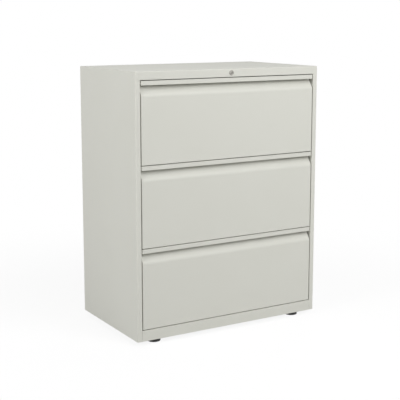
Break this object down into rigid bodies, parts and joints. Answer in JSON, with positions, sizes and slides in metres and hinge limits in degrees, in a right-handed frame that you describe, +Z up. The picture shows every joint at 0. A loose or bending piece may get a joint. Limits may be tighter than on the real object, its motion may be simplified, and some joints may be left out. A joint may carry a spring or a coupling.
{
  "type": "drawer cabinet",
  "caption": "Steel side filing cabinet: full-width drawers on telescopic ball slides, folded finger-grip fronts, central lock with interlock bar, adjustable feet.",
  "frame": {"origin": "on the floor under the middle of the cabinet", "axes": "+Z up, the drawer fronts face -Y, +X to the right of someone facing the fronts"},
  "size_m": [0.8, 0.4715, 1],
  "materials": {
    "powder_coat": "light grey powder coat, fine orange peel",
    "zinc_rail": "bright zinc plate",
    "plated_steel": "satin zinc plate",
    "ball_cage": "bright strip with steel ball rows",
    "lock_nickel": "satin nickel",
    "foot_plastic": "moulded black plastic"
  },
  "bodies": {
    "carcass": {"outer_casing": "powder_coat", "back_panel": "powder_coat", "plinth_rail": "powder_coat", "base_panel": "powder_coat", "front_left_upright": "powder_coat", "front_right_upright": "powder_coat", "rear_left_upright": "powder_coat", "rear_right_upright": "powder_coat", "lock_housing": "lock_nickel", "lock_nut": "plated_steel", "lock_guides": "plated_steel", "foot_nuts": "plated_steel", "bottom_cabinet_rails": "zinc_rail", "middle_cabinet_rails": "zinc_rail", "top_cabinet_rails": "zinc_rail"},
    "bottom_drawer": {"bottom_drawer_front": "powder_coat", "bottom_front_liner": "powder_coat", "bottom_drawer_floor": "powder_coat", "bottom_drawer_sides": "powder_coat", "bottom_drawer_back": "powder_coat", "bottom_file_rails": "plated_steel", "bottom_lock_stud": "plated_steel", "bottom_drawer_rails": "zinc_rail"},
    "bottom_centre_rails": {"bottom_centre_rails": "zinc_rail"},
    "bottom_outer_cages": {"bottom_outer_ball_cages": "ball_cage"},
    "bottom_inner_cages": {"bottom_inner_ball_cages": "ball_cage"},
    "middle_drawer": {"middle_drawer_front": "powder_coat", "middle_front_liner": "powder_coat", "middle_drawer_floor": "powder_coat", "middle_drawer_sides": "powder_coat", "middle_drawer_back": "powder_coat", "middle_file_rails": "plated_steel", "middle_lock_stud": "plated_steel", "middle_drawer_rails": "zinc_rail"},
    "middle_centre_rails": {"middle_centre_rails": "zinc_rail"},
    "middle_outer_cages": {"middle_outer_ball_cages": "ball_cage"},
    "middle_inner_cages": {"middle_inner_ball_cages": "ball_cage"},
    "top_drawer": {"top_drawer_front": "powder_coat", "top_front_liner": "powder_coat", "top_drawer_floor": "powder_coat", "top_drawer_sides": "powder_coat", "top_drawer_back": "powder_coat", "top_file_rails": "plated_steel", "top_lock_stud": "plated_steel", "top_drawer_rails": "zinc_rail"},
    "top_centre_rails": {"top_centre_rails": "zinc_rail"},
    "top_outer_cages": {"top_outer_ball_cages": "ball_cage"},
    "top_inner_cages": {"top_inner_ball_cages": "ball_cage"},
    "lock": {"lock_plug": "lock_nickel", "lock_cam": "plated_steel"},
    "lock_slide": {"lock_slide": "plated_steel"},
    "interlock_bar": {"interlock_bar": "plated_steel"},
    "front_left_foot": {"front_left_foot": "foot_plastic"},
    "rear_left_foot": {"rear_left_foot": "foot_plastic"},
    "front_right_foot": {"front_right_foot": "foot_plastic"},
    "rear_right_foot": {"rear_right_foot": "foot_plastic"}
  },
  "joints": [
    {"name": "bottom_drawer_slide", "type": "slide", "parent": "carcass", "child": "bottom_drawer", "axis": [0, -1, 0], "range_m": [0, 0.38]},
    {"name": "bottom_centre_rail_slide", "type": "slide", "parent": "carcass", "child": "bottom_centre_rails", "axis": [0, -1, 0], "range_m": [0, 0.19]},
    {"name": "bottom_outer_cage_roll", "type": "slide", "parent": "carcass", "child": "bottom_outer_cages", "axis": [0, -1, 0], "range_m": [0, 0.095]},
    {"name": "bottom_inner_cage_roll", "type": "slide", "parent": "carcass", "child": "bottom_inner_cages", "axis": [0, -1, 0], "range_m": [0, 0.285]},
    {"name": "middle_drawer_slide", "type": "slide", "parent": "carcass", "child": "middle_drawer", "axis": [0, -1, 0], "range_m": [0, 0.38]},
    {"name": "middle_centre_rail_slide", "type": "slide", "parent": "carcass", "child": "middle_centre_rails", "axis": [0, -1, 0], "range_m": [0, 0.19]},
    {"name": "middle_outer_cage_roll", "type": "slide", "parent": "carcass", "child": "middle_outer_cages", "axis": [0, -1, 0], "range_m": [0, 0.095]},
    {"name": "middle_inner_cage_roll", "type": "slide", "parent": "carcass", "child": "middle_inner_cages", "axis": [0, -1, 0], "range_m": [0, 0.285]},
    {"name": "top_drawer_slide", "type": "slide", "parent": "carcass", "child": "top_drawer", "axis": [0, -1, 0], "range_m": [0, 0.38]},
    {"name": "top_centre_rail_slide", "type": "slide", "parent": "carcass", "child": "top_centre_rails", "axis": [0, -1, 0], "range_m": [0, 0.19]},
    {"name": "top_outer_cage_roll", "type": "slide", "parent": "carcass", "child": "top_outer_cages", "axis": [0, -1, 0], "range_m": [0, 0.095]},
    {"name": "top_inner_cage_roll", "type": "slide", "parent": "carcass", "child": "top_inner_cages", "axis": [0, -1, 0], "range_m": [0, 0.285]},
    {"name": "interlock_lift", "type": "slide", "parent": "carcass", "child": "interlock_bar", "axis": [0, 0, 1], "range_m": [0, 0.0127]},
    {"name": "lock_turn", "type": "hinge", "parent": "carcass", "child": "lock", "pos_m": [0, -0.235, 0.98475], "axis": [0, -1, 0], "range_deg": [0, 90]},
    {"name": "lock_slide_travel", "type": "slide", "parent": "carcass", "child": "lock_slide", "axis": [1, 0, 0], "range_m": [0, 0.0128]},
    {"name": "front_left_foot_screw", "type": "slide", "parent": "carcass", "child": "front_left_foot", "axis": [0, 0, -1], "range_m": [0, 0.012]},
    {"name": "rear_left_foot_screw", "type": "slide", "parent": "carcass", "child": "rear_left_foot", "axis": [0, 0, -1], "range_m": [0, 0.012]},
    {"name": "front_right_foot_screw", "type": "slide", "parent": "carcass", "child": "front_right_foot", "axis": [0, 0, -1], "range_m": [0, 0.012]},
    {"name": "rear_right_foot_screw", "type": "slide", "parent": "carcass", "child": "rear_right_foot", "axis": [0, 0, -1], "range_m": [0, 0.012]}
  ],
  "couplings": [
    {"joint": "bottom_centre_rail_slide", "follows": "bottom_drawer_slide", "ratio": 0.5},
    {"joint": "bottom_outer_cage_roll", "follows": "bottom_drawer_slide", "ratio": 0.25},
    {"joint": "bottom_inner_cage_roll", "follows": "bottom_drawer_slide", "ratio": 0.75},
    {"joint": "middle_centre_rail_slide", "follows": "middle_drawer_slide", "ratio": 0.5},
    {"joint": "middle_outer_cage_roll", "follows": "middle_drawer_slide", "ratio": 0.25},
    {"joint": "middle_inner_cage_roll", "follows": "middle_drawer_slide", "ratio": 0.75},
    {"joint": "top_centre_rail_slide", "follows": "top_drawer_slide", "ratio": 0.5},
    {"joint": "top_outer_cage_roll", "follows": "top_drawer_slide", "ratio": 0.25},
    {"joint": "top_inner_cage_roll", "follows": "top_drawer_slide", "ratio": 0.75},
    {"joint": "lock_turn", "follows": "interlock_lift", "rad_per_m": 123.41},
    {"joint": "lock_slide_travel", "follows": "interlock_lift", "ratio": 1}
  ]
}
